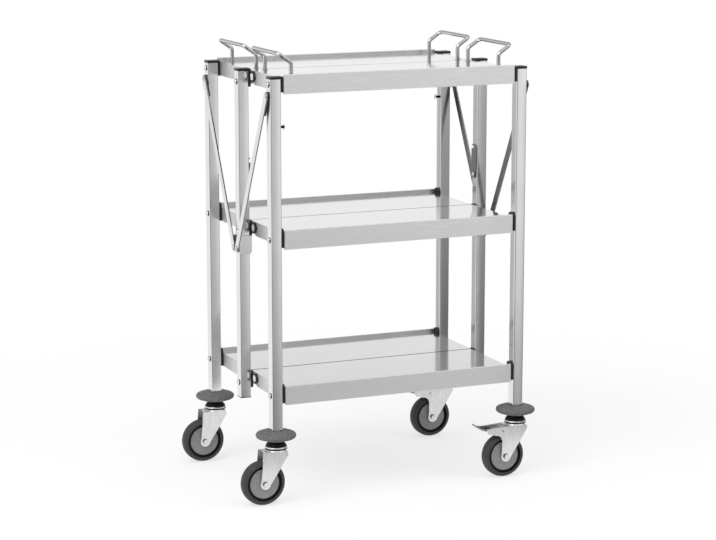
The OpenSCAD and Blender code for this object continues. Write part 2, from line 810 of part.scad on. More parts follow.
centred() discs(lower_shelf_z, false);  // discs_lower_front
centred() discs(lower_shelf_z, true);  // discs_lower_rear
centred() handle(-1, false);  // handle_front_left
centred() handle(1, false);  // handle_front_right
centred() handle(-1, true);  // handle_rear_left
centred() handle(1, true);  // handle_rear_right
centred() braces(false);  // braces_front
centred() braces(true);  // braces_rear
centred() brace_spacers(false);  // brace_spacers_front
centred() brace_spacers(true);  // brace_spacers_rear
centred() brace_rivets(false);  // brace_rivets_front
centred() brace_rivets(true);  // brace_rivets_rear
centred() slider_sleeves();
centred() slider_pads();
centred() lock_lever(-1);  // lock_lever_left
centred() lock_lever(1);  // lock_lever_right
centred() bumpers(false);  // bumpers_front
centred() bumpers(true);  // bumpers_rear
centred() caster_heads(false);  // caster_heads_front
centred() caster_heads(true);  // caster_heads_rear
centred() fork(-1, false);  // fork_front_left
centred() fork(1, false);  // fork_front_right
centred() fork(-1, true);  // fork_rear_left
centred() fork(1, true);  // fork_rear_right
centred() tyre(-1, false);  // tyre_front_left
centred() tyre(1, false);  // tyre_front_right
centred() tyre(-1, true);  // tyre_rear_left
centred() tyre(1, true);  // tyre_rear_right
centred() hub(-1, false);  // hub_front_left
centred() hub(1, false);  // hub_front_right
centred() hub(-1, true);  // hub_rear_left
centred() hub(1, true);  // hub_rear_right
centred() axle(-1, false);  // axle_front_left
centred() axle(1, false);  // axle_front_right
centred() axle(-1, true);  // axle_rear_left
centred() axle(1, true);  // axle_rear_right
centred() brake_pedal(false);  // brake_pedal_front
centred() brake_pedal(true);  // brake_pedal_rear
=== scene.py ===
"""Folding serving trolley: finishes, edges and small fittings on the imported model, with its studio stage."""

import json
import math

import bmesh
import bpy
from bpy.props import FloatProperty, FloatVectorProperty, PointerProperty
from mathutils import Matrix, Vector


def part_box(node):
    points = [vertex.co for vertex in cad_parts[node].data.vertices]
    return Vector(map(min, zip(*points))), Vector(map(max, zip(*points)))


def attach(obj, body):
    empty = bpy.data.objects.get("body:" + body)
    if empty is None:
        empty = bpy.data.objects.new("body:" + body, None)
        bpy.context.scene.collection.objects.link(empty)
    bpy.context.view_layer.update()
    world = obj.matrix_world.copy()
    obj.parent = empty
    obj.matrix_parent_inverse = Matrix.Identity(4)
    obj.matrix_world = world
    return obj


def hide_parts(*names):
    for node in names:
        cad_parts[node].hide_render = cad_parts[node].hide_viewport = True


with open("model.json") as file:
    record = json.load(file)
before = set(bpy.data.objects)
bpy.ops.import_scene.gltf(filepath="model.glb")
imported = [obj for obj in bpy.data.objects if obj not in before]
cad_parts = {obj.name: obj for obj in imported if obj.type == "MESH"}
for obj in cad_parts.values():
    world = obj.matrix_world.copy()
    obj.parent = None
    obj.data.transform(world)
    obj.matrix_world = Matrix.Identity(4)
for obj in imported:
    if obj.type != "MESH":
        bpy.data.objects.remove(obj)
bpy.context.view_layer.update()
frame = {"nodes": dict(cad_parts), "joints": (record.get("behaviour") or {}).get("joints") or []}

bl_info = {
    "name": "Folding serving trolley",
    "version": (1, 0, 0),
    "blender": (4, 5, 0),
    "location": "View3D > Sidebar > Trolley",
    "description": "Finishes, edges and small fittings of a folding serving trolley",
    "category": "Object",
}

MM = 0.001
HALVES = ("front", "rear")
ENDS = ("left", "right")
CORNERS = [f"{half}_{end}" for half in HALVES for end in ENDS]

# Edges that turn by more than this many degrees stay sharp
SHARP = 38

# Sides of a turned piece: a round one and a hexagon
ROUND, HEXAGON = 64, 6

# The colour inputs and the colour output of a Mix node, by number, because their names repeat
MIX_BEFORE, MIX_AFTER, MIX_COLOUR = 6, 7, 2

# Most values of a noise lie between these
NOISE_LOW, NOISE_HIGH = 0.3, 0.7


def linear(hex_colour):
    """A colour written as sRGB hex, in linear light with an alpha of 1."""
    parts = [int(hex_colour[i:i + 2], 16) / 255 for i in (1, 3, 5)]
    return tuple(c / 12.92 if c <= 0.04045 else ((c + 0.055) / 1.055) ** 2.4 for c in parts) + (1.0,)


def middle_of(node):
    low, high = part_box(node)
    return (low + high) / 2


def nodes_named(*starts):
    """The names of the CAD nodes that begin with one of some words."""
    return [name for name in sorted(frame["nodes"]) if name.startswith(starts)]


def joint_place(name):
    """The point on a joint's axis that the record gives."""
    return Vector(next(joint["pos_m"] for joint in frame["joints"] if joint["name"] == name))


# Sizes and colours that a user would change


def length(name, description, millimetres):
    return FloatProperty(
        name=name, description=description, default=millimetres * MM, min=0, unit="LENGTH"
    )


def colour(name, description, hex_colour):
    return FloatVectorProperty(
        name=name, description=description, default=linear(hex_colour), size=4, min=0, max=1, subtype="COLOR"
    )


class TrolleySizes(bpy.types.PropertyGroup):
    sheet_edge: length("Sheet edge", "Rounding along the edges of the folded sheet", 0.8)
    plastic_edge: length("Plastic edge", "Rounding along the edges of the moulded blocks and caps", 0.6)
    bar_edge: length("Bar edge", "Rounding along the edges of the flat bars and levers", 0.6)
    fork_edge: length("Fork edge", "Bend along the edges of the pressed forks", 1.1)
    pad_rib: length("Pad rib", "Distance between the ribs of a brake pedal's pad", 3.2)
    pad_width: length("Pad width", "Width of a brake pedal's pad", 22)
    face_radius: length("Disc face radius", "Radius of the bright face of a spacer disc", 8.2)


class TrolleyColours(bpy.types.PropertyGroup):
    tube: colour("Tube", "Brushed stainless of the posts", "#E9E9E9")
    sheet: colour("Sheet", "Polished stainless of the shelves", "#E6E6E6")
    # Paler than the sheet, as painted light on the outer faces of the shelves' long sides
    flange: colour("Flange", "Brushed outer faces of the shelves' long sides", "#F8F8F8")
    rod: colour("Rod", "Polished stainless of the handles", "#CACACA")
    zinc: colour("Zinc", "Zinc plating of the forks", "#F2F2F2")
    pedal: colour("Pedal", "Duller zinc plating of the brake pedals", "#B4B4B4")
    nickel: colour("Nickel", "Nickel plating of the bolts", "#DEDEDE")
    black: colour("Black nylon", "Moulded blocks and caps", "#121212")
    charcoal: colour("Charcoal rubber", "Bumper discs", "#757575")
    tyre: colour("Tyre", "Rubber of the wheels", "#3E3E3E")
    hub: colour("Hub", "Moulded hubs of the wheels", "#8E8E8E")
    floor: colour("Floor", "Floor and background", "#FFFFFF")


class TrolleyStage(bpy.types.PropertyGroup):
    azimuth: FloatProperty(
        name="Azimuth", description="Direction that the camera looks in, from +Y", default=23.26
    )
    elevation: FloatProperty(
        name="Elevation", description="Camera's angle above the horizon", default=10.72
    )
    lens: FloatProperty(name="Lens", description="Focal length in millimetres", default=115.1)


# Nodes


def add_node(tree, kind, settings=None, values=None, links=None):
    """Adds a node, with its settings, the values of its inputs and the links into them."""
    node = tree.nodes.new(kind)
    for name, value in (settings or {}).items():
        setattr(node, name, value)
    for name, value in (values or {}).items():
        node.inputs[name].default_value = value
    for name, source in (links or {}).items():
        tree.links.new(source, node.inputs[name])
    return node


def cleared_tree(owner):
    """The node tree of a material or a world, emptied."""
    owner.use_nodes = True
    owner.node_tree.nodes.clear()
    return owner.node_tree


def new_material(name, shader_values):
    """A material with one Principled shader, returned with its node tree and that shader."""
    material = bpy.data.materials.new(name)
    tree = cleared_tree(material)
    shader = add_node(tree, "ShaderNodeBsdfPrincipled", values=shader_values)
    add_node(tree, "ShaderNodeOutputMaterial", links={"Surface": shader.outputs[0]})
    return material, tree, shader


def pattern(tree, sizes_mm, detail):
    """Noise whose features have a size in millimetres along X, Y and Z."""
    place = add_node(tree, "ShaderNodeTexCoord")
    scale = [1 / (size * MM) for size in sizes_mm]
    drawn = add_node(
        tree, "ShaderNodeMapping", values={"Scale": scale}, links={"Vector": place.outputs["Object"]}
    )
    values = {"Scale": 1.0, "Detail": detail, "Roughness": 0.55}
    return add_node(tree, "ShaderNodeTexNoise", values=values, links={"Vector": drawn.outputs[0]}).outputs[0]


def coordinates(tree, kind):
    """The X, Y and Z of a texture coordinate: Object is a place and Normal the direction that a surface
    faces, both in the object's own frame. Generated is a direction in the world."""
    place = add_node(tree, "ShaderNodeTexCoord")
    return add_node(tree, "ShaderNodeSeparateXYZ", links={0: place.outputs[kind]}).outputs


def blended(tree, measure, start, end, before, after):
    """A colour that turns from one to another while a measure goes from start to end. Each of the two is a
    colour or another node's output."""
    values = {"From Min": start, "From Max": end}
    share = add_node(tree, "ShaderNodeMapRange", values=values, links={"Value": measure})
    mix = add_node(tree, "ShaderNodeMix", {"data_type": "RGBA"}, links={0: share.outputs[0]})
    for number, side in ((MIX_BEFORE, before), (MIX_AFTER, after)):
        if isinstance(side, bpy.types.NodeSocket):
            tree.links.new(side, mix.inputs[number])
        else:
            mix.inputs[number].default_value = side
    return mix.outputs[MIX_COLOUR]


def tint(tree, source, colour_value, darker):
    """A colour that falls to a darker share of itself with a pattern."""
    shade = tuple(c * darker for c in colour_value[:3]) + (1.0,)
    return blended(tree, source, NOISE_LOW, NOISE_HIGH, colour_value, shade)


def wear(tree, shader, source, roughness, depth_mm, strength, relief=None):
    """A roughness between two values and a relief, both from a pattern unless the relief has its own.
    Returns the roughness."""
    low, high = roughness
    values = {"From Min": NOISE_LOW, "From Max": NOISE_HIGH, "To Min": low, "To Max": high}
    uneven = add_node(tree, "ShaderNodeMapRange", values=values, links={"Value": source})
    tree.links.new(uneven.outputs[0], shader.inputs["Roughness"])
    values = {"Strength": strength, "Distance": depth_mm * MM}
    raised = add_node(tree, "ShaderNodeBump", values=values, links={"Height": relief or source})
    tree.links.new(raised.outputs[0], shader.inputs["Normal"])
    return uneven.outputs[0]


# Materials


def brushed_stainless(name, colour_value):
    """Stainless steel tube, brushed with a belt along its length: its lines spread reflections sideways and
    leave them sharper up and down. The belt's grit leaves lines of about 0.1 mm, drawn here 0.7 mm wide so
    that they show."""
    material, tree, shader = new_material(name, {"Metallic": 1.0, "Anisotropic": 0.6})
    line_width, line_length, cloud, roughness = 0.7, 55, 90, 0.15
    lines = pattern(tree, [line_width, line_width, line_length], detail=3.0)
    clouds = pattern(tree, [cloud] * 3, detail=1.0)
    across = add_node(tree, "ShaderNodeTangent", {"direction_type": "RADIAL", "axis": "Z"})
    tree.links.new(across.outputs[0], shader.inputs["Tangent"])
    tree.links.new(tint(tree, clouds, colour_value, darker=0.96), shader.inputs["Base Color"])
    wear(tree, shader, lines, (0.85 * roughness, 1.2 * roughness), depth_mm=0.01, strength=0.3)
    return material


def rolled_bar(name, colour_value, middle):
    """Stainless flat bar, brushed on the side that shows. Its cut edges and the side that faces the middle of
    the trolley are painted grey, as painted shade."""
    material, tree, shader = new_material(name, {"Metallic": 1.0})
    roll_width, roll_length = 1.2, 30
    rolls = pattern(tree, [roll_width, roll_width, roll_length], detail=3.0)
    facing, spot = coordinates(tree, "Normal"), coordinates(tree, "Object")
    from_middle = add_node(tree, "ShaderNodeMath", {"operation": "SUBTRACT"}, {1: middle}, {0: spot["X"]})
    side = add_node(tree, "ShaderNodeMath", {"operation": "SIGN"}, links={0: from_middle.outputs[0]})
    outwards = {0: side.outputs[0], 1: facing["X"]}
    outwards = add_node(tree, "ShaderNodeMath", {"operation": "MULTIPLY"}, links=outwards)
    # Painted shade: the cut edges and the side towards the middle take this grey instead of the brushed colour
    edge, outer, grey = 0.3, 0.6, linear("#8A8A8A")
    brushed = tint(tree, rolls, colour_value, darker=0.94)
    finish = blended(tree, outwards.outputs[0], edge, outer, grey, brushed)
    tree.links.new(finish, shader.inputs["Base Color"])
    wear(tree, shader, rolls, (0.2, 0.3), depth_mm=0.01, strength=0.3)
    return material


def polished_stainless(name, colour_value, flange_colour):
    """Stainless sheet, polished on its flat so that posts and rims show in it, with faint streaks along its
    length. Its folded long sides are brushed, which blurs what they mirror, and their outer faces are given a
    paler colour as painted light; its ends are ground, which blurs it more. The shade that the two folds
    along the seam cast on each other is painted as a dark line."""
    material, tree, shader = new_material(name, {"Metallic": 1.0})
    streak_length, streak_width, wipe_length, wipe_width = 45, 0.8, 130, 60
    streak = pattern(tree, [streak_length, streak_width, streak_width], detail=2.0)
    wipe = pattern(tree, [wipe_length, wipe_width, wipe_width], detail=1.0)
    facing, spot = coordinates(tree, "Normal"), coordinates(tree, "Object")
    size_only = {"operation": "ABSOLUTE"}
    flatness = add_node(tree, "ShaderNodeMath", size_only, links={0: facing["Z"]})
    endward = add_node(tree, "ShaderNodeMath", size_only, links={0: facing["X"]})
    from_seam = add_node(tree, "ShaderNodeMath", size_only, links={0: spot["Y"]})
    outwards = {0: spot["Y"], 1: facing["Y"]}
    outwards = add_node(tree, "ShaderNodeMath", {"operation": "MULTIPLY"}, links=outwards)

    brushed, polished, ground = 0.3, 0.11, 0.5
    values, links = {"To Min": brushed, "To Max": polished}, {"Value": flatness.outputs[0]}
    finish = add_node(tree, "ShaderNodeMapRange", values=values, links=links)
    values, links = {"To Max": ground}, {"Value": endward.outputs[0], "To Min": finish.outputs[0]}
    finish = add_node(tree, "ShaderNodeMapRange", values=values, links=links)
    streaked = wear(tree, shader, streak, (0.85, 1.2), depth_mm=0.004, strength=0.2)
    roughness = {0: finish.outputs[0], 1: streaked}
    roughness = add_node(tree, "ShaderNodeMath", {"operation": "MULTIPLY"}, links=roughness)
    tree.links.new(roughness.outputs[0], shader.inputs["Roughness"])

    inner, outer, fold = 0.05, 0.15, 3.0 * MM
    wiped = tint(tree, wipe, colour_value, darker=0.97)
    # Painted light: the outer faces of the long sides take the paler flange colour
    wipes_and_painted_light = blended(tree, outwards.outputs[0], inner, outer, wiped, flange_colour)
    # Painted shade: a dark line along the seam, where the two folds shade each other
    wipes_and_painted_light = blended(tree, from_seam.outputs[0], 0.9 * fold, fold, linear("#2A2A2A"), wipes_and_painted_light)
    tree.links.new(wipes_and_painted_light, shader.inputs["Base Color"])
    return material


def drawn_bright_rod(name, colour_value):
    """Stainless rod, drawn and polished: a narrow highlight with a dark edge on each side. Its underside is
    painted dark, as painted shade."""
    material, tree, shader = new_material(name, {"Metallic": 1.0})
    rub_width = 6
    rub = pattern(tree, [rub_width] * 3, detail=2.0)
    facing = coordinates(tree, "Normal")
    # Painted shade: faces that look downwards turn to a dark grey
    under, side, dull = -0.8, -0.45, linear("#5A5A5A")
    finish = blended(tree, facing["Z"], under, side, dull, tint(tree, rub, colour_value, darker=0.93))
    tree.links.new(finish, shader.inputs["Base Color"])
    wear(tree, shader, rub, (0.08, 0.14), depth_mm=0.01, strength=0.1)
    return material


def zinc_plate(name, colour_value):
    """Pressed steel with bright zinc plating: pale, softly mottled by the press's draw marks."""
    material, tree, shader = new_material(name, {"Metallic": 1.0})
    mark_width, mark_length, mottle_width = 3.5, 40, 2.2
    draw_marks = pattern(tree, [mark_width, mark_width, mark_length], detail=2.0)
    mottle = pattern(tree, [mottle_width] * 3, detail=2.0)
    tree.links.new(tint(tree, draw_marks, colour_value, darker=0.84), shader.inputs["Base Color"])
    wear(tree, shader, mottle, (0.24, 0.4), depth_mm=0.12, strength=0.3, relief=draw_marks)
    return material


def nickel_plate(name, colour_value, axis):
    """Turned steel with bright nickel plating on what faces along its axis: a small bright spot, and a flank
    painted near black as a painted reflection."""
    material, tree, shader = new_material(name, {"Metallic": 1.0})
    turning_width = 1.5
    turning = pattern(tree, [turning_width] * 3, detail=1.0)
    facing = coordinates(tree, "Normal")
    along = add_node(tree, "ShaderNodeMath", {"operation": "ABSOLUTE"}, links={0: facing[axis]})
    # Painted reflection: the flanks of the heads, which face away from the axis, take this near black
    flank, face, painted_dark_flank = 0.2, 0.36, linear("#202020")
    nickel_and_painted_flank = tint(tree, turning, colour_value, darker=0.9)
    nickel_and_painted_flank = blended(tree, along.outputs[0], flank, face, painted_dark_flank, nickel_and_painted_flank)
    tree.links.new(nickel_and_painted_flank, shader.inputs["Base Color"])
    wear(tree, shader, turning, (0.08, 0.16), depth_mm=0.01, strength=0.15)
    return material


def moulded_nylon(name, colour_value, roughness, grain_mm):
    """Injection-moulded nylon: a satin skin with the fine grain of a spark-eroded mould."""
    material, tree, shader = new_material(name, {"IOR": 1.53, "Specular IOR Level": 0.5})
    flow_width = 14
    grain = pattern(tree, [grain_mm] * 3, detail=2.0)
    flow = pattern(tree, [flow_width] * 3, detail=1.0)
    tree.links.new(tint(tree, flow, colour_value, darker=0.85), shader.inputs["Base Color"])
    wear(tree, shader, grain, (roughness - 0.05, roughness + 0.06), depth_mm=0.05, strength=0.3)
    return material


def moulded_rubber(name, colour_value, fleck_mm, fleck_shade):
    """Moulded rubber: matt, with a dusty mottle where the mould's release agent and handling dull it."""
    material, tree, shader = new_material(name, {"IOR": 1.52, "Specular IOR Level": 0.4})
    fleck = pattern(tree, [fleck_mm] * 3, detail=3.0)
    tree.links.new(tint(tree, fleck, colour_value, fleck_shade), shader.inputs["Base Color"])
    wear(tree, shader, fleck, (0.52, 0.7), depth_mm=0.15, strength=0.3)
    return material


def tyre_rubber(name, colour_value, groove):
    """Rubber run on a hub: grey and scuffed outside, and painted black in the groove, whose radius is given in
    millimetres, as painted shade."""
    material, tree, shader = new_material(name, {"IOR": 1.52, "Specular IOR Level": 0.35})
    scuff_width, border = 3.0, 0.9
    scuff = pattern(tree, [scuff_width] * 3, detail=3.0)
    place = add_node(tree, "ShaderNodeTexCoord")
    flat = {"operation": "MULTIPLY"}
    flat = add_node(tree, "ShaderNodeVectorMath", flat, {1: (1.0, 1.0, 0.0)}, {0: place.outputs["Object"]})
    radius = add_node(tree, "ShaderNodeVectorMath", {"operation": "LENGTH"}, links={0: flat.outputs[0]})
    worn = tint(tree, scuff, colour_value, darker=0.82)
    start, end = groove * MM, (groove + border) * MM
    # Painted shade: inside the groove's radius the rubber turns near black
    finish = blended(tree, radius.outputs["Value"], start, end, linear("#0B0B0C"), worn)
    tree.links.new(finish, shader.inputs["Base Color"])
    wear(tree, shader, scuff, (0.5, 0.66), depth_mm=0.1, strength=0.25)
    return material


def shared(name, make, *values):
    """A material that several groups of pieces use, made when the first of them asks for it."""
    return bpy.data.materials.get(name) or make(name, *values)


def brushed_tube(context):
    return shared("brushed_stainless_tube", brushed_stainless, context.scene.trolley_colours.tube)


def black_nylon(context):
    roughness, grain_mm = 0.4, 0.9
    black = context.scene.trolley_colours.black
    return shared("moulded_nylon_black", moulded_nylon, black, roughness, grain_mm)


def pale_nylon():
    roughness, grain_mm = 0.35, 0.9
    return shared("moulded_nylon_pale", moulded_nylon, linear("#F2F2F2"), roughness, grain_mm)


def bright_nickel(context, axis):
    return shared(f"nickel_plate_{axis.lower()}", nickel_plate, context.scene.trolley_colours.nickel, axis)


def bright_zinc(context):
    return shared("zinc_plate", zinc_plate, context.scene.trolley_colours.zinc)


def black_rubber():
    fleck_mm, fleck_shade = 2.5, 0.7
    return shared("seal_rubber_black", moulded_rubber, linear("#141415"), fleck_mm, fleck_shade)


# Meshes


def finish_mesh(name, mesh, material, sharp=SHARP):
    """Makes an object of a bmesh, smooth but for the edges that turn by more than an angle in degrees."""
    bmesh.ops.recalc_face_normals(mesh, faces=mesh.faces)
    for face in mesh.faces:
        face.smooth = True
    for edge in mesh.edges:
        if len(edge.link_faces) == 2:
            edge.smooth = edge.calc_face_angle() < math.radians(sharp)
    data = bpy.data.meshes.new(name)
    mesh.to_mesh(data)
    mesh.free()
    data.materials.append(material)
    piece = bpy.data.objects.new(name, data)
    bpy.context.scene.collection.objects.link(piece)
    return piece


def turned(name, outline, material, segments, sharp=SHARP):
    """A piece turned about its own Z, from an outline of (radius, height) in millimetres. It is a ring unless
    both ends of the outline lie on the axis."""
    mesh = bmesh.new()
    rings = []
    for radius, height in outline:
        count = segments if radius > 0 else 1
        turns = [math.tau * i / segments for i in range(count)]
        rings.append([
            mesh.verts.new((radius * MM * math.cos(t), radius * MM * math.sin(t), height * MM)) for t in turns
        ])
    is_ring = outline[0][0] > 0
    following = rings[1:] + rings[:1] if is_ring else rings[1:]
    for ring, after in zip(rings, following):
        for i in range(segments):
            j = (i + 1) % segments
            corners = (ring[i % len(ring)], ring[j % len(ring)], after[j % len(after)], after[i % len(after)])
            corners = list(dict.fromkeys(corners))
            if len(corners) > 2:
                mesh.faces.new(corners)
    return finish_mesh(name, mesh, material, sharp)


def mirrored(half):
    """An outline of (radius, height), from its upper half."""
    return half + [(radius, -height) for radius, height in reversed(half)]


def extruded(name, outline, half_width, material, edge):
    """A piece whose outline of (x, z) in millimetres is drawn out along Y, with its edges rounded."""
    mesh = bmesh.new()
    near = [mesh.verts.new((x * MM, -half_width, z * MM)) for x, z in outline]
    far = [mesh.verts.new((x * MM, half_width, z * MM)) for x, z in outline]
    mesh.faces.new(near)
    mesh.faces.new(far[::-1])
    count = len(outline)
    for i in range(count):
        j = (i + 1) % count
        mesh.faces.new((near[j], near[i], far[i], far[j]))
    bmesh.ops.bevel(mesh, geom=mesh.edges[:], offset=edge, segments=2, affect="EDGES", profile=0.5)
    return finish_mesh(name, mesh, material)


def set_along(piece, direction, place):
    """Turns a piece's own Z to a direction and puts its origin at a place."""
    turn = Vector(direction).to_track_quat("Z", "Y").to_matrix().to_4x4()
    piece.matrix_world = Matrix.Translation(place) @ turn


def dress(node, material, edge=0.0, segments=2):
    """Gives a CAD node its finish, joined faces and, where edge isn't 0, rounded edges."""
    same_point, flat, corner = 0.002 * MM, math.radians(0.5), math.radians(40)
    piece = frame["nodes"][node]
    piece.data.materials.clear()
    piece.data.materials.append(material)
    piece.data.polygons.foreach_set("use_smooth", [True] * len(piece.data.polygons))
    weld = piece.modifiers.new("Joined", "WELD")
    weld.merge_threshold = same_point
    if edge:
        dissolve = piece.modifiers.new("Flat", "DECIMATE")
        dissolve.decimate_type = "DISSOLVE"
        dissolve.angle_limit = flat
        bevel = piece.modifiers.new("Edges", "BEVEL")
        bevel.width = edge
        bevel.segments = segments
        bevel.limit_method = "ANGLE"
        bevel.angle_limit = corner
        bevel.use_clamp_overlap = True
        bevel.miter_outer = "MITER_ARC"
    split = piece.modifiers.new("Sharp", "EDGE_SPLIT")
    split.split_angle = math.radians(SHARP)
    if edge:
        weights = piece.modifiers.new("Flat faces", "WEIGHTED_NORMAL")
        weights.keep_sharp = True


# Pieces


class TROLLEY_OT_posts(bpy.types.Operator):
    """Brushed square tube of the six posts"""

    bl_idname = "trolley.posts"
    bl_label = "Posts"

    def execute(self, context):
        for node in nodes_named("post_"):
            dress(node, brushed_tube(context))
        return {"FINISHED"}


class TROLLEY_OT_shelves(bpy.types.Operator):
    """Polished folded sheet of the six shelf halves, and their spacer discs"""

    bl_idname = "trolley.shelves"
    bl_label = "Shelves and spacer discs"

    def execute(self, context):
        sizes, colours = context.scene.trolley_sizes, context.scene.trolley_colours
        sheet = polished_stainless("polished_stainless_sheet", colours.sheet, colours.flange)
        for node in nodes_named("tray_"):
            dress(node, sheet, sizes.sheet_edge)
        for node in nodes_named("discs_"):
            dress(node, black_nylon(context), sizes.bar_edge)
            self.pale_faces(node, node.removeprefix("discs_"), sizes.face_radius / MM)
        return {"FINISHED"}

    def pale_faces(self, discs, place, radius):
        """A thin pale plug in each spacer disc, proud by less than the disc's play beside the middle post."""
        low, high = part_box(discs)
        middle = (low + high) / 2
        proud, sunk, bevel, segments = 0.2, 1.0, 0.8, 40
        outline = [(0, -sunk), (radius, -sunk), (radius, 0), (radius - bevel, proud), (0, proud)]
        for end, sign, x in (("left", -1, low.x), ("right", 1, high.x)):
            face = turned(f"disc_face_{place}_{end}", outline, pale_nylon(), segments)
            set_along(face, (sign, 0, 0), (x, middle.y, middle.z))
            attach(face, f"{place}_tray")


class TROLLEY_OT_hinge_blocks(bpy.types.Operator):
    """Black hinge blocks and caps on the posts"""

    bl_idname = "trolley.hinge_blocks"
    bl_label = "Hinge blocks and caps"

    def execute(self, context):
        for node in nodes_named("hinge_blocks_"):
            dress(node, black_nylon(context), context.scene.trolley_sizes.plastic_edge, segments=3)
        return {"FINISHED"}


class TROLLEY_OT_fasteners(bpy.types.Operator):
    """Bolts, brace rivets and axle bolts"""

    bl_idname = "trolley.fasteners"
    bl_label = "Bolts, rivets and axles"

    def execute(self, context):
        hexagon_edge = 0.5 * MM
        for node in nodes_named("bolts_", "brace_rivets_"):
            dress(node, bright_nickel(context, "X"))
        for node in nodes_named("axle_"):
            dress(node, bright_nickel(context, "Y"), hexagon_edge)
        return {"FINISHED"}


class TROLLEY_OT_handles(bpy.types.Operator):
    """Bent rod handles on the top shelf"""

    bl_idname = "trolley.handles"
    bl_label = "Handles"

    def execute(self, context):
        rod = drawn_bright_rod("drawn_bright_rod", context.scene.trolley_colours.rod)
        for node in nodes_named("handle_"):
            dress(node, rod)
        return {"FINISHED"}


class TROLLEY_OT_braces(bpy.types.Operator):
    """Flat braces with their spacers, sliders with their pads, and the lock levers"""

    bl_idname = "trolley.braces"
    bl_label = "Braces, sliders and levers"

    def execute(self, context):
        edge = context.scene.trolley_sizes.bar_edge
        bar = rolled_bar("rolled_bar", context.scene.trolley_colours.tube, middle_of("braces_front").x)
        for node in nodes_named("braces_", "lock_lever_"):
            dress(node, bar, edge)
        dress("slider_sleeves", brushed_tube(context), edge)
        for node in nodes_named("brace_spacers_", "slider_pads"):
            dress(node, black_nylon(context), edge)
        return {"FINISHED"}


class TROLLEY_OT_bumpers(bpy.types.Operator):
    """Lens-shaped bumper discs over the casters"""

    bl_idname = "trolley.bumpers"
    bl_label = "Bumpers"

    def execute(self, context):
        fleck_mm, fleck_shade = 5, 0.56
        charcoal = context.scene.trolley_colours.charcoal
        rubber = moulded_rubber("thermoplastic_rubber_charcoal", charcoal, fleck_mm, fleck_shade)
        for node in nodes_named("bumpers_"):
            dress(node, rubber)
        return {"FINISHED"}


class TROLLEY_OT_caster_heads(bpy.types.Operator):
    """The fixed part of each swivel: stem, dust seal, bearing ring and kingpin nut"""

    bl_idname = "trolley.caster_heads"
    bl_label = "Caster heads"

    def execute(self, context):
        for half in HALVES:
            for end in ENDS:
                self.head(half, f"{half}_{end}", bright_zinc(context), black_rubber())
        return {"FINISHED"}

    def head(self, half, corner, zinc, rubber):
        """Heights are in millimetres above the fork's raceway. The seal sits on the bearing ring at seat."""
        post = middle_of(f"post_{corner}")
        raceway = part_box(f"fork_{corner}")[1].z
        bumper_foot = (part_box(f"bumpers_{half}")[0].z - raceway) / MM
        post_foot = (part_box(f"post_{corner}")[0].z - raceway) / MM
        seat = 4.3
        pieces = {
            "stem": (self.stem(seat, post_foot), zinc, ROUND),
            "seal": (self.seal(seat, bumper_foot), rubber, ROUND),
            "bearing_ring": (self.bearing_ring(seat), zinc, ROUND),
            "kingpin_nut": (self.kingpin_nut(), zinc, HEXAGON),
        }
        for name, (outline, material, segments) in pieces.items():
            piece = turned(f"{name}_{corner}", outline, material, segments)
            set_along(piece, (0, 0, 1), (post.x, post.y, raceway))
            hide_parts(f"caster_heads_{half}")
            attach(piece, f"{half}_frame")

    def stem(self, seat, post_foot):
        """A bolt through the seal, a collar under the post and a plug in the post's end."""
        bolt, collar, plug = 9.6, 11.7, 10.6
        collar_foot, top, bevel_height = post_foot - 2.2, post_foot + 28, 2
        return [
            (0, seat), (bolt, seat), (bolt, collar_foot), (collar, collar_foot), (collar, post_foot),
            (plug, post_foot + 0.1), (plug, top - bevel_height), (plug - 1.2, top), (0, top),
        ]

    def seal(self, seat, bumper_foot):
        """A dome from under the bumper down to the bearing ring. Its drops are below the bumper's foot."""
        bore, rim, lip = 10.0, 23.0, 23.4
        dome = ((bore, 0.3), (12.0, 0.4), (14.5, 1.8), (18.0, 4.6), (21.2, 8.2), (rim, 11.0))
        return [(radius, bumper_foot - drop) for radius, drop in dome] + [
            (lip, seat + 0.7), (rim, seat), (bore, seat)
        ]

    def bearing_ring(self, seat):
        """A ring with rounded edges, just clear of the raceway below and the seal above."""
        bore, shoulder, face, rim = 7.0, 21.5, 24.2, 25.0
        foot, top = 0.4, seat - 0.05
        return [
            (bore, foot), (face, foot), (rim, foot + 0.8), (rim, foot + 2.4), (face, foot + 3.5),
            (shoulder, top), (bore, top),
        ]

    def kingpin_nut(self):
        """A hexagon nut under the fork's crown, with the kingpin that rises through the crown to the ring."""
        pin, nut, face, pin_top = 6.0, 10.8, 9.6, 0.35
        crown = -8.8
        foot = crown - 4
        return [
            (0, foot), (face, foot), (nut, foot + 0.7), (nut, crown), (pin, crown), (pin, pin_top),
            (0, pin_top),
        ]


